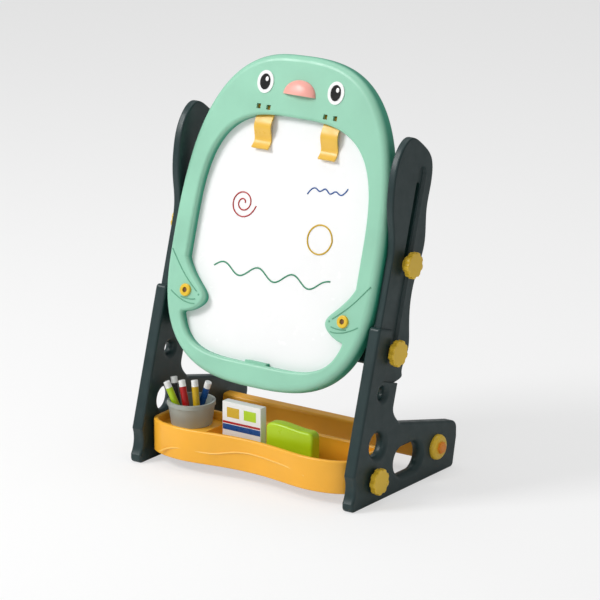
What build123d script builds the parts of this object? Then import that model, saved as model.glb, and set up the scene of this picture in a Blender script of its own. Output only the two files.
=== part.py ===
from build123d import *
import math
import os

os.makedirs("parts", exist_ok=True)

# Whole object, in millimetres: X to the right, Y to the back, Z up, floor at Z = 0
leg_span = 370.0            # over the outer faces of the two legs
foot_depth = 250.0          # toe to heel
lean = 17.0                 # backward lean of posts, slots and board, in degrees

# Legs and posts
leg_wall = 3.0              # wall of the pocket that takes a post
post_thick = 11.2
post_gap = 0.3              # play between a post and its pocket, each side
leg_lip = 6.0               # front wall of the pocket
leg_edge = 0.6              # lip of a leg to the knob's hub
lip_round = 5.0
leg_round = 3.5             # rounding of the long edges of a leg
post_round = 2.5            # rounding of the long edges of a post
pocket_top = -88.0          # mouth of the pocket, along the slot from the pivot
post_tail = 158.0           # pivot to the lower end of a post
post_front = 35.7           # slot axis to the front edge of a post
post_foot = 22.0            # slot axis to the back corner of a post's lower end
post_head = (               # curve over the paddle and down the back, across and along the slot
    (-39.5, 28.0),
    (-52.4, 60.0),
    (-61.5, 100.0),
    (-60.0, 134.0),
    (-38.5, 165.0),
    (-9.0, 160.0),
    (18.0, 144.0),
    (27.0, 112.0),
    (27.0, 78.0),
    (36.5, 28.0),
    (29.0, -12.0),
    (27.0, -48.0),
    (37.0, -90.0),
    (41.0, -114.0),
    (35.0, -143.0),
)
neck_back = 25.0            # slot axis to the back edge of a leg's upright
heel_height = 63.0
heel_face = 22.0            # upright stretch at the top of the heel
heel_rake = 9.0             # the heel's lower corner stands this far forward
heel_round = 12.0
instep_height = 97.0
instep_y = -13.0
ankle_height = 124.0
toe_round = 6.0
shin_low = 48.0             # height where the straight front edge of a leg ends
toe_notch = 4.0             # depth of the shallow notch above the toe
toe_notch_height = 27.0

# Dished holes through a leg: throat radius, and the rounding on both faces
dish = 8.0
high_hole = (-55.0, 148.0)
high_hole_radius = 8.0
low_hole = (-66.0, 79.0)
low_hole_radius = 16.0
oval_hole = (6.0, 41.0)
oval_length = 62.0
oval_height = 38.0

# Board pivot and the straight slot that it slides in
pivot_y = 3.5
pivot_z = 312.0
board_travel = 105.0        # lift of the board along the slot
clamp_drop = 118.0          # pivot down to the post clamp bolt, along the slot
groove_width = 20.0         # at the post's face
groove_slope = 32.0         # slope of the groove's sides, in degrees
groove_depth = 4.0
groove_top = 121.0          # centre of the groove's upper end
bolt_radius = 4.0
bolt_play = 0.1             # bolt in a slot or bore, each side
head_radius = 7.5
head_thick = 4.5
seat_gap = 0.3              # running gap between faces of pieces that turn or lift

# Knobs
knob_radius = 18.0
knob_thick = 8.5
knob_reach = 196.5          # centre plane of the easel to a knob's outer face
knob_lobes = 9
knob_notch = 5.0            # radius of the scoops between lobes
knob_bite = 1.8             # depth of those scoops
hub_radius = 11.0
knob_round = 1.5
knob_cover = 3.5            # material left over the end of the bolt

# Tray, rear rail and tie bar
tray_low = 16.0
tray_rim = 62.0
shelf_drop = 11.0           # rim down to the cup's shelf
shelf_edge = -86.0          # right end of that shelf
trough_drop = 38.0          # rim down to the trough's floor
tray_floor = 3.0
tray_lip = 6.5              # width of the rim and of the walls
tray_front = -107.0         # front face at the middle
tray_bulge = 11.0           # the front swells forward by this much towards each end
tray_bulge_x = 116.0
tray_corner_x = 152.0
tray_side_front = -84.0     # where the rounded front corner meets the leg
tray_back = -25.0
tray_back_round = 14.0
tray_rim_round = 2.6
tray_low_round = 2.0
tray_bolt = (-73.0, 32.0)
rail_low = 20.0
rail_top = 52.0
rail_y = 75.0
rail_thick = 20.0
rail_round = 5.0
rail_wall = 3.5
rail_block = 26.0           # solid stretch at each end of the rail
rail_bolt_z = 39.0
cap_radius = 17.5
cap_height = 7.0
hex_radius = 8.5
hex_height = 4.5
hex_round = 2.5
screw_radius = 3.0
screw_length = 22.0         # screw in the rail
tie_height = 44.0
tie_thick = 14.0
tie_round = 4.0
tie_bite = 20.0             # clamp bolt in the tie bar

# Board, in its own plane: across, up from the level of the ring pegs, and depth behind the face
board_half = 169.5
board_top = 338.5
board_low = 111.0
board_wide_at = 65.0        # height of the widest place
board_square_up = 2.7       # squareness of the upper and lower halves of the outline
board_square_down = 2.8
pivot_rise = 89.0           # ring pegs up to the pivot
pivot_behind = 48.0         # face back to the pivot
frame_depth = 14.0          # front frame, face to parting plane
back_depth = 13.0           # back frame, parting plane to back
face_round = 10.0
back_round = 8.0
frame_rim = 14.0            # outer edge to the root of a snout
mouth_half = 139.0
mouth_top = 254.0
mouth_low = 79.0
mouth_wide_at = 80.0
mouth_square_up = 3.2
mouth_square_down = 4.5
mouth_round = 4.0
panel_thick = 3.0
panel_lap = 8.0             # panels behind the opening's edge
panel_play = 0.3
notch_half = 17.0
notch_rise = 3.5
lug_thick = 12.0
lug_radius = 12.0
lug_foot = 34.0             # half-length of a lug where it leaves the back frame
lug_gap = 0.7               # lug to post
lug_sunk = 2.0              # parting plane to the front of a lug
boss_screw_radius = 1.6
boss_head_radius = 3.2
boss_screw_head = 2.0
boss_screw_bite = 9.0       # screw in the front frame
screw_levels = (20.0, 160.0)

# Snout-shaped tabs of the front frame, from the tip round to the opening's edge
snout_tip = (100.0, -7.0)
snout_brow = (115.0, 14.0)
snout_chin = (111.0, -20.5)
snout_root_low = (146.0, -25.0)
snout_cheek = (132.0, 33.0)
snout_root_high = (143.0, 62.0)
snout_round = 2.5
notch_round = 1.2

# Face and fittings of the front frame
eye_x = 57.6
eye_rise = 295.5
eye_size = (13.0, 15.5)
pupil_size = (8.1, 10.8)
eye_thick = 1.2
pupil_thick = 0.6
nose_rise = 284.0
nose_size = (26.0, 21.0, 9.0)
peg_x = 129.7
ring_radius = 8.6
ring_height = 3.4
ring_round = 1.6
peg_radius = 3.6
peg_height = 2.0
peg_sunk = 5.0              # length of a peg in the frame
peg_play = 0.1

# Paper clips
clip_x = 54.5
clip_width = 27.0
clip_gap = 0.8              # clip to the sides of its pocket
clip_pin_rise = 262.0
clip_pin_depth = 9.0
clip_pin_radius = 1.5
clip_barrel = 3.4
clip_sheet = 2.2
clip_pocket_rise = 270.0
clip_pocket_skin = 4.0      # frame left in front of a clip's pocket
clip_pin_hold = 4.0         # pin in the frame beside the pocket
clip_window = 6.5
clip_window_pitch = 16.0
clip_waves = (              # up the board and behind its face
    (254.0, 9.3),
    (245.0, 6.6),
    (236.0, 5.6),
    (226.0, 9.4),
    (218.0, 12.4),
    (211.0, 10.6),
    (206.0, 7.4),
)

# Cup and markers
cup_x = -126.0
cup_y = -62.6
cup_height = 33.0
cup_low_radius = 28.3
cup_top_radius = 32.0
cup_band = 6.0
cup_band_out = 1.2
cup_wall = 2.0
marker_radius = 4.7
marker_length = 60.0
marker_cap = 9.0
marker_play = 0.15
marker_round = 0.8
markers = {                 # foot and lean, across and back, from the cup's axis
    "lime": ((-5.5, -12.0), (-0.36, -0.19)),
    "black": ((-15.8, -8.0), (-0.20, 0.08)),
    "red": ((5.5, -13.0), (-0.25, 0.05)),
    "yellow": ((16.5, -7.0), (-0.17, 0.09)),
    "blue": ((0.5, 11.5), (0.40, -0.05)),
}

# Eraser and chalk box
eraser_x = 55.5
eraser_length = 77.0
eraser_front = -88.0
eraser_thick = 19.0
eraser_height = 60.0
eraser_wave = 2.6
eraser_round = 4.0
eraser_shoulder = 9.0
felt_height = 6.0
felt_inset = 1.5
box_x = -25.0
box_width = 64.0
box_front = -85.0
box_thick = 13.0
box_height = 77.0
box_round = 0.8

# Places that follow from the sizes
slope = math.radians(lean)
leg_out = leg_span / 2
post_out = leg_out - leg_wall - post_gap
post_in = post_out - post_thick
leg_in = post_in - post_gap - leg_wall
leg_thick = leg_out - leg_in
leg_front = post_front + post_gap + leg_lip
bore = bolt_radius + bolt_play
screw_bore = screw_radius + bolt_play
bolt_end = knob_reach - knob_cover
lug_out = post_in - lug_gap
lug_in = lug_out - lug_thick
shelf_top = tray_rim - shelf_drop
trough_top = tray_rim - trough_drop
item_low = trough_top + seat_gap
cup_low = shelf_top + seat_gap
board_depth = frame_depth + back_depth


def slanted(across, along):
    """Y and Z of a point given across and along the slot, from the pivot."""
    y = pivot_y + across * math.cos(slope) + along * math.sin(slope)
    z = pivot_z - across * math.sin(slope) + along * math.cos(slope)
    return y, z


def side_plane(x):
    """Plane square to X, with Y and Z as its axes."""
    return Plane(origin=(x, 0, 0), x_dir=(0, 1, 0), z_dir=(1, 0, 0))


def slot_plane(x):
    """Plane square to X at the pivot, with its second axis along the slot."""
    return Plane(origin=(x, pivot_y, pivot_z), x_dir=(0, math.cos(slope), -math.sin(slope)), z_dir=(1, 0, 0))


def board_plane():
    """Plane of the board's face, at the level of the ring pegs, facing forward."""
    y = pivot_y - pivot_rise * math.sin(slope) - pivot_behind * math.cos(slope)
    z = pivot_z - pivot_rise * math.cos(slope) + pivot_behind * math.sin(slope)
    return Plane(origin=(0, y, z), x_dir=(1, 0, 0), z_dir=(0, -math.cos(slope), math.sin(slope)))


def rod(x0, x1, y, z, radius):
    """Round bar along X."""
    return extrude(side_plane(x0) * Pos(y, z) * Circle(radius), amount=x1 - x0)


def block(x0, x1, y0, y1, z0, z1):
    """Box between two corners."""
    return Pos((x0 + x1) / 2, (y0 + y1) / 2, (z0 + z1) / 2) * Box(x1 - x0, y1 - y0, z1 - z0)


def flipped(shape):
    """The same piece on the other side of the easel."""
    return mirror(shape, about=Plane.YZ)


def edges_at(shape, axis, place, reach=0.01):
    """Edges that lie in one plane square to an axis."""
    return shape.edges().filter_by_position(axis, place - reach, place + reach)


def save(name, *shapes):
    """Write one node."""
    export_step(Compound(children=list(shapes)) if len(shapes) > 1 else shapes[0], f"parts/{name}.step")


def lower_leg():
    """Right lower leg: L-shaped, with a pocket for the post and three dished holes."""
    toe = -foot_depth / 2
    heel = foot_depth / 2
    shin = slanted(-leg_front, (shin_low - pivot_z) / math.cos(slope) - leg_front * math.tan(slope))
    mouth_front = slanted(-leg_front, pocket_top)
    mouth_back = slanted(neck_back, pocket_top)
    neck = slanted(neck_back, -post_tail - post_gap)
    ankle_y = neck[0] - (neck[1] - ankle_height) * math.tan(slope)
    notch = ((toe + shin[0]) / 2 + toe_notch, toe_notch_height)
    toe_top = (toe, 2 * toe_round)
    outline = make_face(
        [
            Line((toe, 0), (heel - heel_rake, 0)),
            Line((heel - heel_rake, 0), (heel, heel_height - heel_face)),
            Line((heel, heel_height - heel_face), (heel, heel_height)),
            Line((heel, heel_height), (instep_y, instep_height)),
            Spline((instep_y, instep_height), (ankle_y, ankle_height), tangents=[(-1, 1), (math.tan(slope), 1)]),
            Line((ankle_y, ankle_height), mouth_back),
            Line(mouth_back, mouth_front),
            Line(mouth_front, shin),
            ThreePointArc(shin, notch, toe_top),
            Line(toe_top, (toe, 0)),
        ]
    )
    outline = fillet(outline.vertices().group_by(Axis.Y)[0], toe_round)
    outline = fillet(outline.vertices().sort_by_distance((heel, heel_height))[0], heel_round)
    outline = fillet(outline.vertices().sort_by_distance(mouth_front)[0], lip_round)
    outline -= Pos(*high_hole) * Circle(high_hole_radius)
    outline -= Pos(*low_hole) * Circle(low_hole_radius)
    outline -= Pos(*oval_hole) * SlotOverall(oval_length, oval_height)
    leg = extrude(side_plane(leg_in) * outline, amount=leg_thick)
    leg = fillet([edge for wire in side_faces(leg) for edge in wire.outer_wire().edges()], leg_round)
    leg = fillet([e for f in side_faces(leg) for wire in f.inner_wires() for e in wire.edges()], dish)
    pocket_low = -post_tail - post_gap
    room = post_thick + 2 * post_gap
    leg -= extrude(slot_plane(leg_in + leg_wall) * span(-post_front - post_gap, foot_depth, pocket_low, 0), amount=room)
    open_from = -hub_radius - leg_edge
    leg -= extrude(slot_plane(leg_out - leg_wall) * span(open_from, foot_depth, pocket_low, 0), amount=leg_wall)
    leg -= extrude(slot_plane(leg_in) * Pos(0, -clamp_drop) * Circle(bore), amount=leg_wall)
    leg -= rod(leg_in, leg_out, *tray_bolt, bore)
    leg -= rod(leg_in, leg_out, rail_y, rail_bolt_z, screw_bore)
    return leg


def span(x0, x1, y0, y1):
    """Rectangle between two corners."""
    return Pos((x0 + x1) / 2, (y0 + y1) / 2) * Rectangle(x1 - x0, y1 - y0)


def side_faces(shape):
    """The two flat faces of a plate that stands square to X."""
    ranked = shape.faces().filter_by(Axis.X).sort_by(Axis.X)
    return [ranked[0], ranked[-1]]


def upright_slot(low, high, width):
    """Round-ended slot along the post."""
    return Pos(0, (low + high) / 2) * Rot(0, 0, 90) * SlotCenterToCenter(high - low, width)


def post():
    """Right post: a plate with a paddle head, a blind groove and the pivot's slot."""
    outline = make_face(
        [
            Line((-post_front, -post_tail), (-post_front, 0)),
            Spline((-post_front, 0), *post_head, (post_foot, -post_tail), tangents=[(0, 1), (-1, -0.4)]),
            Line((post_foot, -post_tail), (-post_front, -post_tail)),
        ]
    )
    plate = extrude(slot_plane(post_in) * outline, amount=post_thick)
    long_edges = [face.edges().sort_by(SortBy.LENGTH)[-1] for face in side_faces(plate)]
    plate = fillet(long_edges, post_round)
    groove = upright_slot(-clamp_drop, groove_top, groove_width)
    plate -= extrude(slot_plane(post_out) * groove, amount=-groove_depth, taper=groove_slope)
    plate -= extrude(slot_plane(post_in) * upright_slot(0, board_travel, 2 * bore), amount=post_thick)
    plate -= extrude(slot_plane(post_in) * Pos(0, -clamp_drop) * Circle(bore), amount=post_thick)
    return plate


def headed_bolt(y, z, head_face):
    """Round-headed bolt along X, out to the knob."""
    return rod(head_face - head_thick, head_face, y, z, head_radius) + rod(head_face, bolt_end, y, z, bolt_radius)


def knob(y, z, seat):
    """Scalloped knob on a hub, bored for its bolt."""
    disc = Circle(knob_radius)
    disc -= PolarLocations(knob_radius + knob_notch - knob_bite, knob_lobes) * Circle(knob_notch)
    grip = extrude(side_plane(knob_reach - knob_thick) * Pos(y, z) * disc, amount=knob_thick)
    grip = fillet([edge for face in side_faces(grip) for edge in face.edges()], knob_round)
    grip += rod(seat, knob_reach - knob_thick, y, z, hub_radius)
    return grip - rod(seat, bolt_end + seat_gap, y, z, bore)


def rail_cap():
    """Domed flange at a heel."""
    dome = rod(leg_out, leg_out + cap_height, rail_y, rail_bolt_z, cap_radius)
    dome = fillet(dome.edges().sort_by(Axis.X)[-1], cap_height * 0.75)
    return dome - rod(leg_out, leg_out + cap_height, rail_y, rail_bolt_z, screw_bore)


def rail_screw():
    """Screw with a rounded hexagon head over the flange."""
    seat = leg_out + cap_height
    shape = extrude(side_plane(seat) * Pos(rail_y, rail_bolt_z) * RegularPolygon(hex_radius, 6), amount=hex_height)
    shape = fillet(shape.faces().sort_by(Axis.X)[-1].edges(), hex_round)
    return shape + rod(leg_in - screw_length, seat, rail_y, rail_bolt_z, screw_radius)


def rear_rail():
    """Orange channel between the heels, open below, solid at both ends."""
    y0 = rail_y - rail_thick / 2
    y1 = rail_y + rail_thick / 2
    rail = block(-leg_in, leg_in, y0, y1, rail_low, rail_top)
    rail = fillet(rail.edges().filter_by(Axis.X), rail_round)
    inner = leg_in - rail_block
    rail -= block(-inner, inner, y0 + rail_wall, y1 - rail_wall, rail_low, rail_top - rail_wall)
    for end in (-1, 1):
        rail -= rod(end * leg_in, end * (leg_in - screw_length - seat_gap), rail_y, rail_bolt_z, screw_bore)
    return rail


def tie_bar():
    """Dark bar between the legs behind the board, clamped by the post bolts."""
    bar = extrude(slot_plane(-leg_in) * Pos(0, -clamp_drop) * Rectangle(tie_thick, tie_height), amount=2 * leg_in)
    bar = fillet(bar.edges().filter_by(Axis.X), tie_round)
    for end in (-1, 1):
        bar -= rod(end * leg_in, end * (leg_in - tie_bite - seat_gap), *slanted(0, -clamp_drop), bore)
    return bar


def tray_shape(inset=0.0):
    """Plan of the tray, or the same drawn in evenly: swelling front, round front corners, square back."""
    side = leg_in - inset
    back = tray_back - inset
    nook = inset * math.sqrt(0.5)
    half = [
        Spline(
            (0, tray_front + inset),
            (tray_bulge_x, tray_front - tray_bulge + inset),
            (tray_corner_x - nook, tray_front - tray_bulge / 9 + nook),
            (side, tray_side_front),
            tangents=[(1, 0), (0, 1)],
        ),
        Line((side, tray_side_front), (side, back)),
        Line((side, back), (0, back)),
    ]
    plan = make_face(half + [mirror(line, about=Plane.YZ) for line in half])
    corners = plan.vertices().group_by(Axis.Y)[-1].filter_by(lambda v: abs(v.X) > 1)
    return fillet(corners, tray_back_round - inset)


def tray():
    """Tray with a cup shelf on the left and a deep trough, hollow below."""
    body = extrude(Pos(0, 0, tray_low) * tray_shape(), amount=tray_rim - tray_low)
    body = fillet(body.faces().sort_by(Axis.Z)[0].edges(), tray_low_round)
    inside = tray_shape(tray_lip)
    body -= extrude(Pos(0, 0, shelf_top) * inside, amount=shelf_drop)
    body = fillet(body.faces().sort_by(Axis.Z)[-1].edges(), tray_rim_round)
    trough = inside & span(shelf_edge, leg_in, tray_front - foot_depth, 0)
    under_shelf = inside & span(-leg_in, shelf_edge - tray_floor, tray_front - foot_depth, 0)
    body -= extrude(Pos(0, 0, trough_top) * trough, amount=trough_drop - shelf_drop)
    body -= extrude(Pos(0, 0, tray_low) * trough, amount=trough_top - tray_floor - tray_low)
    body -= extrude(Pos(0, 0, tray_low) * under_shelf, amount=shelf_top - tray_floor - tray_low)
    for end in (-1, 1):
        body -= rod(end * leg_in, end * (leg_in - tray_lip), *tray_bolt, bore)
    return body


def oval(half, top, low, wide_at, square_up, square_down, steps=9):
    """Squared oval about the board's middle line, each half with its own squareness."""
    right = []
    for step in range(2 * steps + 1):
        turn = math.pi / 2 * step / steps
        square = square_up if step <= steps else square_down
        rise = top - wide_at if step <= steps else low + wide_at
        across = half * math.sin(turn) ** (2 / square) if 0 < step < 2 * steps else 0.0
        level = math.copysign(abs(math.cos(turn)) ** (2 / square), math.cos(turn)) if step != steps else 0.0
        right.append((across, wide_at + rise * level))
    left = [(-across, level) for across, level in right[-2:0:-1]]
    return make_face(Spline(*right, *left, periodic=True))


def board_outline():
    """Outer edge of both frames."""
    return oval(board_half, board_top, board_low, board_wide_at, board_square_up, board_square_down)


def mouth(grow=0.0):
    """Edge of the opening, or the same grown evenly for the panels and their pocket."""
    return oval(
        mouth_half + grow, mouth_top + grow, mouth_low + grow, mouth_wide_at, mouth_square_up, mouth_square_down
    )


def snout():
    """Snout-shaped tab that reaches into the opening on the right."""
    root = (board_half - frame_rim, (snout_root_low[1] + snout_root_high[1]) / 2)
    return make_face(
        [
            Spline(snout_root_high, snout_cheek, snout_brow, snout_tip, snout_chin, snout_root_low),
            Polyline(snout_root_low, root, snout_root_high),
        ]
    )


def screw_places():
    """Places of the screws that join the two frames."""
    middle = (board_half + mouth_half) / 2
    places = [(side * middle, level) for side in (-1, 1) for level in screw_levels]
    return places + [(0, (board_top + mouth_top) / 2), (0, -(board_low + mouth_low) / 2)]


def post_hole(a, b, w0, w1, radius):
    """Round bar square to the board."""
    return Pos(a, b, (w0 + w1) / 2) * Cylinder(radius, abs(w1 - w0))


def clip_pin_at(side, half_length, radius):
    """Round bar along a clip's hinge line."""
    middle = side * clip_x
    return rod(middle - half_length, middle + half_length, clip_pin_rise, -clip_pin_depth, radius)


def board_frame():
    """Mint front frame with snouts, bottom notch, clip pockets and windows."""
    opening = mouth()
    opening -= snout()
    opening -= flipped(snout())
    opening = fillet(opening.vertices().filter_by(lambda v: abs(v.X) > notch_half), snout_round)
    ring = extrude(board_outline(), amount=-frame_depth)
    ring = fillet(edges_at(ring, Axis.Z, 0), face_round)
    ring -= extrude(opening, amount=-frame_depth)
    rim = ring.faces().filter_by(Axis.Z).sort_by(Axis.Z)[-1].inner_wires()[0]
    ring = fillet(rim.edges(), mouth_round)
    step = block(
        -notch_half, notch_half, -mouth_low - mouth_round, -mouth_low + notch_rise, -frame_depth, -mouth_round
    )
    ring += fillet(step.edges().group_by(Axis.Y)[-1].filter_by(Axis.Z), notch_round)
    for side in (-1, 1):
        middle = side * clip_x
        half = clip_width / 2 + clip_gap
        ring -= block(
            middle - half, middle + half, board_wide_at, clip_pocket_rise, -frame_depth, -clip_pocket_skin
        )
        for step in (-0.5, 0.5):
            square = Rectangle(clip_window, clip_window)
            ring -= extrude(
                Pos(middle + step * clip_window_pitch, clip_pin_rise) * square, amount=-clip_pocket_skin
            )
        ring -= clip_pin_at(side, half + clip_pin_hold, clip_pin_radius + peg_play)
        ring -= post_hole(side * peg_x, 0, -peg_sunk, 0, peg_radius + peg_play)
    for a, b in screw_places():
        ring -= post_hole(a, b, -frame_depth, -frame_depth + boss_screw_bite, boss_screw_radius + peg_play)
    return board_plane() * ring


def board_back():
    """Mint back frame with a stepped pocket for both panels and two pivot lugs."""
    ring = extrude(Pos(0, 0, -frame_depth) * board_outline(), amount=-back_depth)
    ring = fillet(edges_at(ring, Axis.Z, -board_depth), back_round)
    ring -= extrude(Pos(0, 0, -frame_depth) * mouth(panel_lap + panel_play), amount=-2 * panel_thick)
    ring -= extrude(Pos(0, 0, -frame_depth) * mouth(), amount=-back_depth)
    for a, b in screw_places():
        ring -= post_hole(a, b, -board_depth, -frame_depth, boss_screw_radius + peg_play)
        ring -= post_hole(a, b, -board_depth, -board_depth + boss_screw_head, boss_head_radius + peg_play)
    ring = board_plane() * ring
    root = frame_depth + lug_sunk - pivot_behind
    arm = Polygon((root, -lug_foot), (0, -lug_radius), (0, lug_radius), (root, lug_foot), align=None)
    arm += Circle(lug_radius)
    arm -= Circle(bore)
    lug = extrude(slot_plane(lug_in) * arm, amount=lug_thick)
    return ring + lug + flipped(lug)


def shell_screws():
    """Countersunk screws from the back frame into the front frame."""
    screws = []
    for a, b in screw_places():
        screw = post_hole(a, b, -board_depth, -board_depth + boss_screw_head, boss_head_radius)
        screw += post_hole(a, b, -board_depth + boss_screw_head, boss_screw_bite - frame_depth, boss_screw_radius)
        screws.append(board_plane() * screw)
    return screws


def on_face(a, b, w, sketch, thick):
    """Thin piece on the board's face."""
    return board_plane() * extrude(Pos(a, b, w) * sketch, amount=thick)


def nose():
    """Pink half-dome."""
    across, up, out = nose_size
    dome = scale(Sphere(1), by=(across, up, out))
    return board_plane() * (Pos(0, nose_rise) * (dome & block(-across, across, 0, up, 0, out)))


def peg_ring(side):
    """Yellow ring on the face."""
    ring = post_hole(side * peg_x, 0, 0, ring_height, ring_radius)
    ring = fillet(edges_at(ring, Axis.Z, ring_height), ring_round)
    return board_plane() * (ring - post_hole(side * peg_x, 0, 0, ring_height, peg_radius + peg_play))


def peg_pin(side):
    """Brown pin through the ring into the frame."""
    pin = post_hole(side * peg_x, 0, -peg_sunk, peg_height, peg_radius)
    return board_plane() * fillet(edges_at(pin, Axis.Z, peg_height), peg_height / 2)


def clip(side):
    """Wavy paper clip on its pin."""
    wave = Spline((clip_pin_rise - clip_barrel / 2, -clip_pin_depth), *[(b, -d) for b, d in clip_waves])
    leaf = trace(wave, clip_sheet)
    edge = side * clip_x - clip_width / 2
    tongue = extrude(side_plane(edge) * leaf, amount=clip_width)
    tongue += clip_pin_at(side, clip_width / 2, clip_barrel)
    return board_plane() * (tongue - clip_pin_at(side, clip_width / 2, clip_pin_radius + bolt_play))


def clip_pin(side):
    """Steel pin of a clip, held in the sides of its pocket."""
    return board_plane() * clip_pin_at(side, clip_width / 2 + clip_gap + clip_pin_hold, clip_pin_radius)


def cup():
    """Grey cup with a band at its rim."""
    top = cup_height
    profile = Polygon(
        (0, 0),
        (cup_low_radius, 0),
        (cup_top_radius, top - cup_band),
        (cup_top_radius + cup_band_out, top - cup_band),
        (cup_top_radius + cup_band_out, top),
        (cup_top_radius - cup_wall, top),
        (cup_low_radius - cup_wall, cup_wall),
        (0, cup_wall),
        align=None,
    )
    return Pos(cup_x, cup_y, cup_low) * revolve(Plane.XZ * profile, Axis.Z)


def marker(foot, tilt):
    """Marker body and its white end, leaning in the cup."""
    aim = Vector(tilt[0], tilt[1], 1).normalized()
    rise = seat_gap + marker_radius * math.hypot(aim.X, aim.Y)
    base = Vector(cup_x + foot[0], cup_y + foot[1], cup_low + cup_wall + rise)
    stand = Plane(origin=base, z_dir=aim)
    length = marker_length - marker_cap
    body = Pos(0, 0, length / 2) * Cylinder(marker_radius, length)
    body = fillet(body.edges().sort_by(Axis.Z)[0], marker_round)
    plug = marker_cap / 2
    body -= Pos(0, 0, length - plug / 2) * Cylinder(marker_radius / 2 + marker_play, plug)
    cap = Pos(0, 0, length + marker_cap / 2) * Cylinder(marker_radius, marker_cap)
    cap = fillet(cap.edges().sort_by(Axis.Z)[-1], marker_round)
    cap += Pos(0, 0, length - plug / 2) * Cylinder(marker_radius / 2, plug)
    return stand * body, stand * cap


def eraser():
    """Lime eraser shell with a wavy top, and its felt."""
    x0 = eraser_x - eraser_length / 2
    x1 = eraser_x + eraser_length / 2
    y1 = eraser_front + eraser_thick
    top = item_low + eraser_height
    low = item_low + felt_height
    crest = [
        (x0, top),
        (x0 + eraser_length / 4, top + eraser_wave),
        (x0 + eraser_length * 0.6, top),
        (x1, top),
    ]
    face = make_face(
        [Spline(*crest), Polyline(crest[-1], (x1, low), (x0, low), crest[0])],
    )
    face = fillet(face.vertices().group_by(Axis.Y)[-1], eraser_shoulder)
    shell = extrude(Plane.XZ.offset(-y1) * face, amount=eraser_thick)
    ends = shell.faces().filter_by(Axis.Y)
    shell = fillet([edge for end in ends for edge in end.edges() if edge.center().Z > low + 1], eraser_round)
    felt = block(
        x0 + felt_inset, x1 - felt_inset, eraser_front + felt_inset, y1 - felt_inset, item_low, low
    )
    return shell, felt


def chalk_box():
    """Closed card box."""
    box = block(
        box_x - box_width / 2, box_x + box_width / 2, box_front, box_front + box_thick, item_low, item_low + box_height
    )
    return fillet(box.edges(), box_round)


leg = lower_leg()
save("right_lower_leg", leg)
save("left_lower_leg", flipped(leg))
plate = post()
save("right_post", plate)
save("left_post", flipped(plate))
save("tie_bar", tie_bar())
save("rear_rail", rear_rail())
save("tray", tray())

pivot = (pivot_y, pivot_z)
clamp = slanted(0, -clamp_drop)
leg_bolt = rod(leg_in - tie_bite, bolt_end, *clamp, bolt_radius)
save("leg_bolts", leg_bolt, flipped(leg_bolt))
tray_screw = headed_bolt(*tray_bolt, leg_in - tray_lip)
save("tray_bolts", tray_screw, flipped(tray_screw))
pivot_bolt = headed_bolt(*pivot, lug_in - seat_gap)
save("pivot_bolts", pivot_bolt, flipped(pivot_bolt))
save("rail_caps", rail_cap(), flipped(rail_cap()))
save("rail_screws", rail_screw(), flipped(rail_screw()))
for name, place, seat in (
    ("board_knob", pivot, post_out),
    ("leg_knob", clamp, post_out),
    ("tray_knob", tray_bolt, leg_out),
):
    turned = knob(*place, seat + seat_gap)
    save(f"right_{name}", turned)
    save(f"left_{name}", flipped(turned))

save("board_frame", board_frame())
save("board_back", board_back())
for name, depth in (("board_panel", frame_depth), ("chalk_panel", frame_depth + panel_thick)):
    save(name, on_face(0, 0, -depth, mouth(panel_lap), -panel_thick))
save("shell_screws", *shell_screws())
save("nose", nose())
sides = (-1, 1)
save("eye_whites", *[on_face(s * eye_x, eye_rise, 0, Ellipse(*eye_size), eye_thick) for s in sides])
save("eye_pupils", *[on_face(s * eye_x, eye_rise, eye_thick, Ellipse(*pupil_size), pupil_thick) for s in sides])
save("peg_rings", *[peg_ring(s) for s in sides])
save("peg_pins", *[peg_pin(s) for s in sides])
save("clip_pins", *[clip_pin(s) for s in sides])
save("left_clip", clip(-1))
save("right_clip", clip(1))

save("cup", cup())
for name, (foot, tilt) in markers.items():
    body, cap = marker(foot, tilt)
    save(f"marker_{name}", body)
    save(f"marker_{name}_end", cap)
shell, felt = eraser()
save("eraser_shell", shell)
save("eraser_felt", felt)
save("chalk_box", chalk_box())
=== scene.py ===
import math
import bpy
from mathutils import Matrix, Vector


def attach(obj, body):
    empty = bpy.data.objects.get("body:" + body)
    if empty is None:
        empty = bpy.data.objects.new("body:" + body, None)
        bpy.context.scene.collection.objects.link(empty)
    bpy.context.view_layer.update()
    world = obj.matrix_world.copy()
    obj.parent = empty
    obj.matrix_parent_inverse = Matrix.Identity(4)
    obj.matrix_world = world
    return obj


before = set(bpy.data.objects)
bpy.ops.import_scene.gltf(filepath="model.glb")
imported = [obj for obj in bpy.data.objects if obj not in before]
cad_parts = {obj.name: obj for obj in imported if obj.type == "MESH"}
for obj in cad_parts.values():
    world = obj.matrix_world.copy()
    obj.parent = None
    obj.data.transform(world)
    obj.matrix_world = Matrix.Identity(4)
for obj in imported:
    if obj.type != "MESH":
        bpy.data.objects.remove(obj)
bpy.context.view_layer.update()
scene = bpy.context.scene

# Board plane: lean, and the point of its face at the level of the ring pegs, in metres
LEAN = math.radians(17.0)
FACE_Y = -0.06842
FACE_Z = 0.24092

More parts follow.
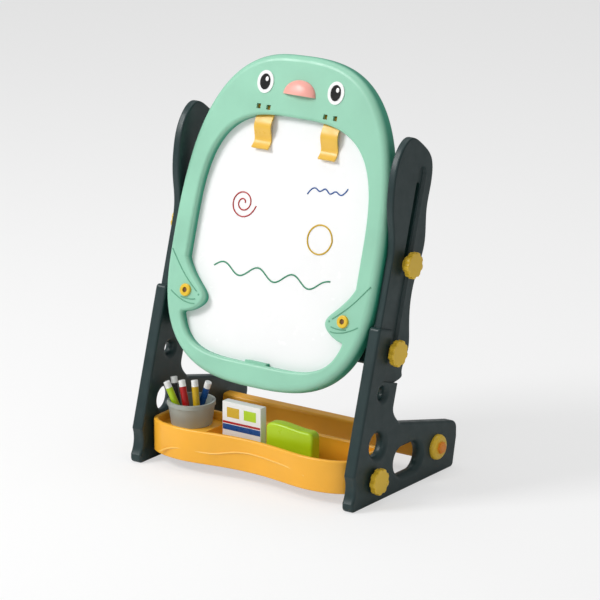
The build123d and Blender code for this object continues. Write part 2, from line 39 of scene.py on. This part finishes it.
# Details on the easel, in millimetres
PANEL_DEPTH = 14.0          # board's face back to the white panel
STROKE_LIFT = 0.05          # middle of a stroke in front of the panel
LINE_RADIUS = 0.8           # moulded lines on the snouts, drawn in a darker mint as painted shade
GLINT_X = (-55.0, 60.2)
GLINT_RISE = 299.5
GLINT_OUT = 1.75
GLINT_SIZE = (2.6, 3.2, 0.5)
NOSTRIL_X = 108.0
NOSTRIL_RISE = -3.0
NOSTRIL_OUT = -0.2
NOSTRIL_SIZE = (1.5, 1.5, 0.8)
TRAY_FRONT = -107.0         # front face of the tray at the middle
TRAY_BULGE = 11.0           # the front swells forward by this much
TRAY_BULGE_X = 116.0        # where the swell is complete
WAVE_RADIUS = 1.2
BOX_FRONT = -85.0           # front face of the chalk box
PRINT_OUT = 0.15            # print in front of that face
PRINT_SUNK = 0.05           # print behind it
PRINT_INSET = 0.8           # print drawn in at both ends

# Finish of moulded pieces
DRIFT_SCALE = 14.0
GLOSS_SCALE = 60.0
NOISE_LOW = 0.3
NOISE_HIGH = 0.7
GRAIN_HEIGHT = 0.0006       # in metres
MIX_FACTOR, MIX_A, MIX_B, MIX_RESULT = 0, 6, 7, 2   # sockets of a colour mix

# Light, in metres and watts
AIM = (0.0, 0.0, 0.25)
LAMPS = {                   # place, size, power
    "key_lamp": ((-1.5, -1.8, 2.2), 1.0, 58.0),
    "fill_lamp": ((1.2, -2.8, 1.4), 1.6, 9.0),
    "top_lamp": ((-0.2, 0.5, 2.8), 2.0, 20.0),
}
SKY_STRENGTH = 0.36
FLOOR_GLOW = 0.55           # share of plain white in the floor as the camera sees it
FLOOR_REACH = 20.0

# Camera
CAMERA_TURN = math.radians(35.45)
CAMERA_RISE = math.radians(16.51)
CAMERA_TARGET = Vector((0.0149, -0.005, 0.236))
CAMERA_DISTANCE = 5.387
SENSOR_WIDTH = 36.0
FOCAL_LENGTH = 240.0
CLIP_END = 100.0


def on_board(across, up, out=0.0):
    """Point on the board, given in millimetres across, up and out of its face."""
    a, b, w = across / 1000, up / 1000, out / 1000
    y = FACE_Y + b * math.sin(LEAN) - w * math.cos(LEAN)
    z = FACE_Z + b * math.cos(LEAN) + w * math.sin(LEAN)
    return Vector((a, y, z))


# Finishes
def add(tree, kind, **values):
    """New shader node with its plain sockets set."""
    node = tree.nodes.new(kind)
    for name, value in values.items():
        node.inputs[name.replace("_", " ")].default_value = value
    return node


def shade(colour, factor):
    """A colour made lighter or darker, with full alpha."""
    return tuple(min(1.0, part * factor) for part in colour[:3]) + (1.0,)


def moulded(name, colour, rough=0.38, grain=900.0, relief=0.05, drift=0.06, coat=0.0, spread=0.08):
    """Moulded plastic: slow colour drift, uneven gloss and a fine spark-eroded grain."""
    material = bpy.data.materials.new(name)
    material.use_nodes = True
    tree = material.node_tree
    shader = tree.nodes["Principled BSDF"]
    shader.inputs["Coat Weight"].default_value = coat
    shader.inputs["Coat Roughness"].default_value = 0.2
    shader.inputs["Specular IOR Level"].default_value = 0.45
    place = tree.nodes.new("ShaderNodeTexCoord")
    slow = add(tree, "ShaderNodeTexNoise", Scale=DRIFT_SCALE, Detail=3.0, Roughness=0.5)
    tint = tree.nodes.new("ShaderNodeValToRGB")
    tint.color_ramp.elements[0].position = NOISE_LOW
    tint.color_ramp.elements[1].position = NOISE_HIGH
    tint.color_ramp.elements[0].color = shade(colour, 1.0 - drift)
    tint.color_ramp.elements[1].color = shade(colour, 1.0 + drift)
    gloss_noise = add(tree, "ShaderNodeTexNoise", Scale=GLOSS_SCALE, Detail=4.0, Roughness=0.6)
    gloss = add(tree, "ShaderNodeMapRange", From_Min=NOISE_LOW, From_Max=NOISE_HIGH)
    gloss.inputs["To Min"].default_value = rough - spread
    gloss.inputs["To Max"].default_value = rough + spread
    fine = add(tree, "ShaderNodeTexNoise", Scale=grain, Detail=2.0, Roughness=0.6)
    bump = add(tree, "ShaderNodeBump", Strength=relief, Distance=GRAIN_HEIGHT)
    for noise in (slow, gloss_noise, fine):
        tree.links.new(place.outputs["Object"], noise.inputs["Vector"])
    tree.links.new(slow.outputs["Fac"], tint.inputs["Fac"])
    tree.links.new(tint.outputs["Color"], shader.inputs["Base Color"])
    tree.links.new(gloss_noise.outputs["Fac"], gloss.inputs["Value"])
    tree.links.new(gloss.outputs["Result"], shader.inputs["Roughness"])
    tree.links.new(fine.outputs["Fac"], bump.inputs["Height"])
    tree.links.new(bump.outputs["Normal"], shader.inputs["Normal"])
    return material


def plated(name, colour):
    """Zinc-plated steel with turning marks."""
    material = moulded(name, colour, rough=0.3, grain=400.0, relief=0.03, drift=0.1)
    material.node_tree.nodes["Principled BSDF"].inputs["Metallic"].default_value = 1.0
    return material


def felted(name, colour):
    """Short felt: coarse fibres and a soft sheen."""
    material = moulded(name, colour, rough=0.9, grain=1600.0, relief=0.6, drift=0.25, spread=0.05)
    material.node_tree.nodes["Principled BSDF"].inputs["Sheen Weight"].default_value = 0.5
    return material


def face_into_painted_shade(name, face_colour, painted_shade_colour, start, end, rough=0.42):
    """Satin moulding whose face colour runs into a deeper green painted as shade on the flanks, by depth behind
    the board's face in metres.
    """
    material = moulded(name, face_colour, rough=rough, coat=0.1)
    tree = material.node_tree
    shader = tree.nodes["Principled BSDF"]
    face = shader.inputs["Base Color"].links[0].from_socket
    place = next(node for node in tree.nodes if node.bl_idname == "ShaderNodeTexCoord")
    level = tree.nodes.new("ShaderNodeVectorMath")
    level.operation = "DOT_PRODUCT"
    level.inputs[1].default_value = (0.0, math.cos(LEAN), -math.sin(LEAN))
    front = FACE_Y * math.cos(LEAN) - FACE_Z * math.sin(LEAN)
    depth = add(tree, "ShaderNodeMapRange", From_Min=front + start, From_Max=front + end)
    depth.interpolation_type = "SMOOTHSTEP"
    # Deeper green further behind the face: painted shade on the flanks and back
    painted_shade_blend = tree.nodes.new("ShaderNodeMix")
    painted_shade_blend.data_type = "RGBA"
    painted_shade_blend.inputs[MIX_B].default_value = shade(painted_shade_colour, 1.0)
    tree.links.new(place.outputs["Object"], level.inputs[0])
    tree.links.new(level.outputs["Value"], depth.inputs["Value"])
    tree.links.new(depth.outputs["Result"], painted_shade_blend.inputs[MIX_FACTOR])
    tree.links.new(face, painted_shade_blend.inputs[MIX_A])
    tree.links.new(painted_shade_blend.outputs[MIX_RESULT], shader.inputs["Base Color"])
    return material


# Mint board: its flanks, rims and back shell are painted a deeper green as shade
mint_painted_shade = face_into_painted_shade("mint_with_painted_flank_shade", (0.290, 0.600, 0.435), (0.035, 0.330, 0.205), 0.002, 0.011)
slate = moulded("dark_slate", (0.0105, 0.0300, 0.0310), rough=0.42, grain=1300.0, relief=0.12, drift=0.12)
knob_yellow = moulded("knob_yellow", (0.80, 0.52, 0.035), rough=0.35)
clip_yellow = moulded("clip_yellow", (0.82, 0.50, 0.07), rough=0.35)
tray_orange = moulded("tray_orange", (0.91, 0.44, 0.030), rough=0.4, coat=0.1)
# Lighter orange of the raised wave line: painted highlight
tray_wave_painted_highlight = moulded("tray_wave_painted_highlight", (0.95, 0.56, 0.11), rough=0.35)
cap_orange = moulded("cap_orange", (0.85, 0.27, 0.025), rough=0.35)
wipe_white = moulded("wipe_white", (0.93, 0.93, 0.93), rough=0.22, grain=300.0, relief=0.01, drift=0.01)
chalk_dark = moulded("chalk_dark", (0.020, 0.045, 0.036), rough=0.85, grain=2200.0, relief=0.25, drift=0.3)
eye_white = moulded("eye_white", (0.9, 0.9, 0.89), rough=0.25, drift=0.02)
eye_black = moulded("eye_black", (0.012, 0.012, 0.012), rough=0.2)
nose_pink = moulded("nose_pink", (0.87, 0.39, 0.33), rough=0.35)
peg_brown = moulded("peg_brown", (0.15, 0.065, 0.02), rough=0.5)
zinc = plated("zinc", (0.62, 0.62, 0.60))
cup_grey = moulded("cup_grey", (0.37, 0.405, 0.37), rough=0.45)
lime = moulded("lime", (0.43, 0.64, 0.008), rough=0.35)
felt_dark = felted("felt_dark", (0.03, 0.03, 0.035))
card_white = moulded("card_white", (0.84, 0.84, 0.82), rough=0.6, grain=700.0, relief=0.06, drift=0.03)
ink_green = moulded("ink_green", (0.02, 0.24, 0.12), rough=0.5)
# Darker mint of the moulded snout lines and nostril dimples: painted shade
snout_painted_shade = moulded("snout_painted_shade", (0.12, 0.36, 0.23), rough=0.5)
marker_paint = {
    "lime": lime,
    "black": moulded("marker_black", (0.015, 0.016, 0.018), rough=0.3),
    "red": moulded("marker_red", (0.43, 0.004, 0.006), rough=0.3),
    "yellow": moulded("marker_yellow", (0.62, 0.39, 0.008), rough=0.3),
    "blue": moulded("marker_blue", (0.005, 0.075, 0.29), rough=0.3),
}

painted = {
    "tie_bar": slate,
    "rear_rail": tray_orange,
    "tray": tray_orange,
    "leg_bolts": zinc,
    "tray_bolts": zinc,
    "pivot_bolts": zinc,
    "rail_caps": knob_yellow,
    "rail_screws": cap_orange,
    "board_frame": mint_painted_shade,
    "board_back": mint_painted_shade,
    "board_panel": wipe_white,
    "chalk_panel": chalk_dark,
    "shell_screws": zinc,
    "nose": nose_pink,
    "eye_whites": eye_white,
    "eye_pupils": eye_black,
    "peg_rings": knob_yellow,
    "peg_pins": peg_brown,
    "clip_pins": zinc,
    "cup": cup_grey,
    "eraser_shell": lime,
    "eraser_felt": felt_dark,
    "chalk_box": card_white,
}
for side in ("left", "right"):
    painted[f"{side}_lower_leg"] = slate
    painted[f"{side}_post"] = slate
    painted[f"{side}_clip"] = clip_yellow
    for knob in ("board_knob", "leg_knob", "tray_knob"):
        painted[f"{side}_{knob}"] = knob_yellow
for colour, paint in marker_paint.items():
    painted[f"marker_{colour}"] = paint
    painted[f"marker_{colour}_end"] = eye_white
for name, material in painted.items():
    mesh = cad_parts[name].data
    mesh.materials.clear()
    mesh.materials.append(material)


# Bead tree: a round bead swept along a curve
def bead_tree():
    """Geometry Nodes tree that sweeps a bead along a path, with its size and material as inputs."""
    tree = bpy.data.node_groups.new("bead_along_path", "GeometryNodeTree")
    face = tree.interface
    face.new_socket("Geometry", in_out="INPUT", socket_type="NodeSocketGeometry")
    face.new_socket("Bead Radius", in_out="INPUT", socket_type="NodeSocketFloat")
    face.new_socket("Bead Sides", in_out="INPUT", socket_type="NodeSocketInt")
    face.new_socket("Material", in_out="INPUT", socket_type="NodeSocketMaterial")
    face.new_socket("Geometry", in_out="OUTPUT", socket_type="NodeSocketGeometry")
    given = tree.nodes.new("NodeGroupInput")
    result = tree.nodes.new("NodeGroupOutput")
    ring = tree.nodes.new("GeometryNodeCurvePrimitiveCircle")
    sweep = tree.nodes.new("GeometryNodeCurveToMesh")
    sweep.inputs["Fill Caps"].default_value = True
    smooth = tree.nodes.new("GeometryNodeSetShadeSmooth")
    real = tree.nodes.new("GeometryNodeRealizeInstances")
    paint = tree.nodes.new("GeometryNodeSetMaterial")
    link = tree.links.new
    link(given.outputs["Bead Radius"], ring.inputs["Radius"])
    link(given.outputs["Bead Sides"], ring.inputs["Resolution"])
    link(given.outputs["Geometry"], sweep.inputs["Curve"])
    link(ring.outputs["Curve"], sweep.inputs["Profile Curve"])
    link(sweep.outputs["Mesh"], smooth.inputs["Geometry"])
    link(smooth.outputs["Geometry"], real.inputs["Geometry"])
    link(real.outputs["Geometry"], paint.inputs["Geometry"])
    link(given.outputs["Material"], paint.inputs["Material"])
    link(paint.outputs["Geometry"], result.inputs["Geometry"])
    return tree


BEAD = bead_tree()


def bead(name, paths, radius, material, body, sides=8):
    """Bead along one or more smooth paths of points in metres, as a plain mesh on a body."""
    curve = bpy.data.curves.new(name + "_path", "CURVE")
    curve.dimensions = "3D"
    for points in paths:
        spline = curve.splines.new("NURBS")
        spline.points.add(len(points) - 1)
        for target, point in zip(spline.points, points):
            target.co = (*point, 1.0)
        spline.order_u = min(4, len(points))
        spline.use_endpoint_u = True
        spline.resolution_u = 8
    path = bpy.data.objects.new(name + "_path", curve)
    scene.collection.objects.link(path)
    sweep = path.modifiers.new("bead", "NODES")
    sweep.node_group = BEAD
    wanted = {"Bead Radius": radius, "Bead Sides": sides, "Material": material}
    for socket in BEAD.interface.items_tree:
        if socket.in_out == "INPUT" and socket.name in wanted:
            sweep[socket.identifier] = wanted[socket.name]
    view = bpy.context.evaluated_depsgraph_get()
    view.update()
    mesh = bpy.data.meshes.new_from_object(path.evaluated_get(view))
    path.modifiers.remove(sweep)
    bpy.data.objects.remove(path)
    return placed(name, mesh, material, body)


def placed(name, mesh, material, body):
    """Object for a finished mesh, riding on a body."""
    piece = bpy.data.objects.new(name, mesh)
    scene.collection.objects.link(piece)
    mesh.materials.clear()
    mesh.materials.append(material)
    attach(piece, body)
    return piece


def dome(name, centres, radii, material, body, turns=20, rings=5):
    """Shallow oval domes on the board's face: centre across, up, out, and half sizes, in millimetres."""
    points, faces = [], []
    for across, up, out in centres:
        start = len(points)
        for ring in range(rings):
            tilt = math.pi / 2 * ring / rings
            for turn in range(turns):
                angle = 2 * math.pi * turn / turns
                a = across + radii[0] * math.cos(tilt) * math.cos(angle)
                b = up + radii[1] * math.cos(tilt) * math.sin(angle)
                points.append(on_board(a, b, out + radii[2] * math.sin(tilt)))
        points.append(on_board(across, up, out + radii[2]))
        for ring in range(rings - 1):
            for turn in range(turns):
                low = start + ring * turns
                after = (turn + 1) % turns
                faces.append((low + turn, low + after, low + turns + after, low + turns + turn))
        top = start + (rings - 1) * turns
        for turn in range(turns):
            faces.append((top + turn, top + (turn + 1) % turns, len(points) - 1))
        faces.append(tuple(reversed(range(start, start + turns))))
    mesh = bpy.data.meshes.new(name)
    mesh.from_pydata(points, [], faces)
    mesh.polygons.foreach_set("use_smooth", [True] * len(mesh.polygons))
    return placed(name, mesh, material, body)


def slabs(name, boxes, material, body):
    """Thin upright slabs: low and high corners in millimetres."""
    points, faces = [], []
    for low, high in boxes:
        start = len(points)
        for x in (low[0], high[0]):
            for y in (low[1], high[1]):
                for z in (low[2], high[2]):
                    points.append((x / 1000, y / 1000, z / 1000))
        for quad in ((0, 1, 3, 2), (4, 6, 7, 5), (0, 4, 5, 1), (2, 3, 7, 6), (0, 2, 6, 4), (1, 5, 7, 3)):
            faces.append(tuple(start + corner for corner in quad))
    mesh = bpy.data.meshes.new(name)
    mesh.from_pydata(points, [], faces)
    return placed(name, mesh, material, body)


def mirrored(points):
    """The same outline on the other half of the board."""
    return [(-across, up) for across, up in points]


# Face details
glints = [(x, GLINT_RISE, GLINT_OUT) for x in GLINT_X]
dome("eye_glints", glints, GLINT_SIZE, eye_white, "board")
jaw = [(136, -10), (124, -12.5), (112, -9.5)]
bead(
    "snout_mouths",
    [[on_board(a, b, 0.1) for a, b in line] for line in (jaw, mirrored(jaw))],
    LINE_RADIUS / 1000,
    snout_painted_shade,
    "board",
)
# Nostrils: dark ovals standing in for painted shade in the dimples
nostrils = [(x, NOSTRIL_RISE, NOSTRIL_OUT) for x in (-NOSTRIL_X, NOSTRIL_X)]
dome("snout_nostrils", nostrils, NOSTRIL_SIZE, snout_painted_shade, "board")
brow = [(163, 52), (150, 36), (138, 22), (124, 10), (112, 1)]
chin = [(112, -16), (124, -18), (138, -14), (154, -4)]
bead(
    "snout_outlines",
    [[on_board(a, b, 0.05) for a, b in line] for line in (brow, mirrored(brow), chin, mirrored(chin))],
    LINE_RADIUS / 1000,
    snout_painted_shade,
    "board",
)


# Wave bead on the tray's front, painted lighter than the tray as a highlight on its raised line
def tray_front(x):
    """Y of the tray's front face at X, in millimetres."""
    swell = min(1.0, abs(x) / TRAY_BULGE_X)
    return TRAY_FRONT - TRAY_BULGE * (3 * swell**2 - 2 * swell**3)


wave = [(-139, 22), (-130, 28), (-118, 32), (-96, 34.5), (-73, 32.5), (-54, 32.8), (-36, 37.2), (-18, 42)]
wave += [(5, 44), (31, 43), (58, 41.5), (82, 40), (102, 35)]
bead(
    "tray_wave",
    [[Vector((x / 1000, tray_front(x) / 1000, z / 1000)) for x, z in wave]],
    WAVE_RADIUS / 1000,
    tray_wave_painted_highlight,
    "base",
)

# Generic marker strokes on the white panel, across and up in millimetres
stroke_ink = {
    "red": marker_paint["red"],
    "blue": marker_paint["blue"],
    "green": ink_green,
    "yellow": marker_paint["yellow"],
}
spiral = []
for step in range(26):
    angle = step * 0.5
    reach = 3.0 + step * 0.75
    spiral.append((-70 + reach * math.cos(angle), 130 + reach * math.sin(angle)))
hills = [(-100 + 10 * step, 40 + 9 * math.sin(step * 1.1)) for step in range(20)]
zigzag = [(30 + 9 * step, 165 + (8 if step % 2 else -8)) for step in range(8)]
ring = [(62 + 20 * math.cos(step * math.pi / 9), 100 + 20 * math.sin(step * math.pi / 9)) for step in range(19)]
strokes = (("red", spiral, 1.0), ("green", hills, 1.1), ("blue", zigzag, 1.0), ("yellow", ring, 1.2))
for colour, line, thick in strokes:
    path = [on_board(a, b, STROKE_LIFT - PANEL_DEPTH) for a, b in line]
    bead(f"stroke_{colour}", [path], thick / 1000, stroke_ink[colour], "board", sides=6)

# Printed bars on the chalk box: left, low, right and high edge in millimetres
bars = {
    "box_band_blue": ((-57.0, 62.0, 7.0, 70.0), marker_paint["blue"], "blue"),
    "box_band_red": ((-57.0, 71.0, 7.0, 74.0), marker_paint["red"], "red"),
    "box_patch_yellow": ((-50.0, 80.0, -28.0, 94.0), marker_paint["yellow"], "sun"),
    "box_patch_lime": ((-22.0, 80.0, 0.0, 94.0), lime, "lime"),
}
for name, ((x0, z0, x1, z1), ink, slot) in bars.items():
    low = (x0 + PRINT_INSET, BOX_FRONT - PRINT_OUT, z0)
    high = (x1 - PRINT_INSET, BOX_FRONT + PRINT_SUNK, z1)
    slabs(name, [(low, high)], ink, "chalk_box")


# Stage, light and camera
def seen_directly(tree):
    """Socket that is 1 for what the camera sees straight or through clear pieces, and 0 otherwise."""
    ray = tree.nodes.new("ShaderNodeLightPath")
    either = tree.nodes.new("ShaderNodeMath")
    either.operation = "MAXIMUM"
    tree.links.new(ray.outputs["Is Camera Ray"], either.inputs[0])
    tree.links.new(ray.outputs["Is Transmission Ray"], either.inputs[1])
    return either.outputs["Value"]


def soft_lamp(name, place, size, power):
    """Square area lamp aimed at the middle of the easel."""
    lamp = bpy.data.lights.new(name, "AREA")
    lamp.size = size
    lamp.energy = power
    holder = bpy.data.objects.new(name, lamp)
    scene.collection.objects.link(holder)
    holder.location = place
    holder.rotation_euler = (Vector(AIM) - Vector(place)).to_track_quat("-Z", "Y").to_euler()


def floor_paint():
    """Matt white floor that the camera sees close to white, with the shadow kept."""
    material = moulded("floor_pale", (0.9, 0.9, 0.9), rough=0.9, grain=40.0, relief=0.0, drift=0.0)
    tree = material.node_tree
    shader = tree.nodes["Principled BSDF"]
    glow = add(tree, "ShaderNodeEmission", Strength=1.0)
    share = tree.nodes.new("ShaderNodeMath")
    share.operation = "MULTIPLY"
    share.inputs[1].default_value = FLOOR_GLOW
    pick = tree.nodes.new("ShaderNodeMixShader")
    tree.links.new(seen_directly(tree), share.inputs[0])
    tree.links.new(share.outputs["Value"], pick.inputs["Fac"])
    tree.links.new(shader.outputs["BSDF"], pick.inputs[1])
    tree.links.new(glow.outputs["Emission"], pick.inputs[2])
    tree.links.new(pick.outputs["Shader"], tree.nodes["Material Output"].inputs["Surface"])
    return material


def pale_floor():
    """Wide pale floor under the easel."""
    mesh = bpy.data.meshes.new("floor")
    far = FLOOR_REACH
    mesh.from_pydata([(-far, -far, 0), (far, -far, 0), (far, far, 0), (-far, far, 0)], [], [(0, 1, 2, 3)])
    floor = bpy.data.objects.new("floor", mesh)
    scene.collection.objects.link(floor)
    mesh.materials.append(floor_paint())


def studio_world():
    """Even white surroundings that light softly and look white behind the easel."""
    world = bpy.data.worlds.new("studio")
    world.use_nodes = True
    sky = world.node_tree
    back = sky.nodes["Background"]
    back.inputs["Color"].default_value = (1.0, 1.0, 1.0, 1.0)
    back.inputs["Strength"].default_value = SKY_STRENGTH
    white = add(sky, "ShaderNodeBackground", Strength=1.0)
    pick = sky.nodes.new("ShaderNodeMixShader")
    sky.links.new(seen_directly(sky), pick.inputs["Fac"])
    sky.links.new(back.outputs["Background"], pick.inputs[1])
    sky.links.new(white.outputs["Background"], pick.inputs[2])
    sky.links.new(pick.outputs["Shader"], sky.nodes["World Output"].inputs["Surface"])
    scene.world = world


def photo_camera():
    """Camera of the front view."""
    level = math.cos(CAMERA_RISE)
    right = Vector((math.cos(CAMERA_TURN), math.sin(CAMERA_TURN), 0.0))
    away = Vector((math.sin(CAMERA_TURN) * level, -math.cos(CAMERA_TURN) * level, math.sin(CAMERA_RISE)))
    lens = bpy.data.cameras.new("camera")
    lens.sensor_width = SENSOR_WIDTH
    lens.lens = FOCAL_LENGTH
    lens.clip_end = CLIP_END
    eye = bpy.data.objects.new("camera", lens)
    scene.collection.objects.link(eye)
    place = Matrix.Translation(CAMERA_TARGET + away * CAMERA_DISTANCE)
    eye.matrix_world = place @ Matrix((right, away.cross(right), away)).transposed().to_4x4()
    scene.camera = eye


pale_floor()
for name, (place, size, power) in LAMPS.items():
    soft_lamp(name, place, size, power)
studio_world()
scene.view_settings.view_transform = "Standard"
photo_camera()
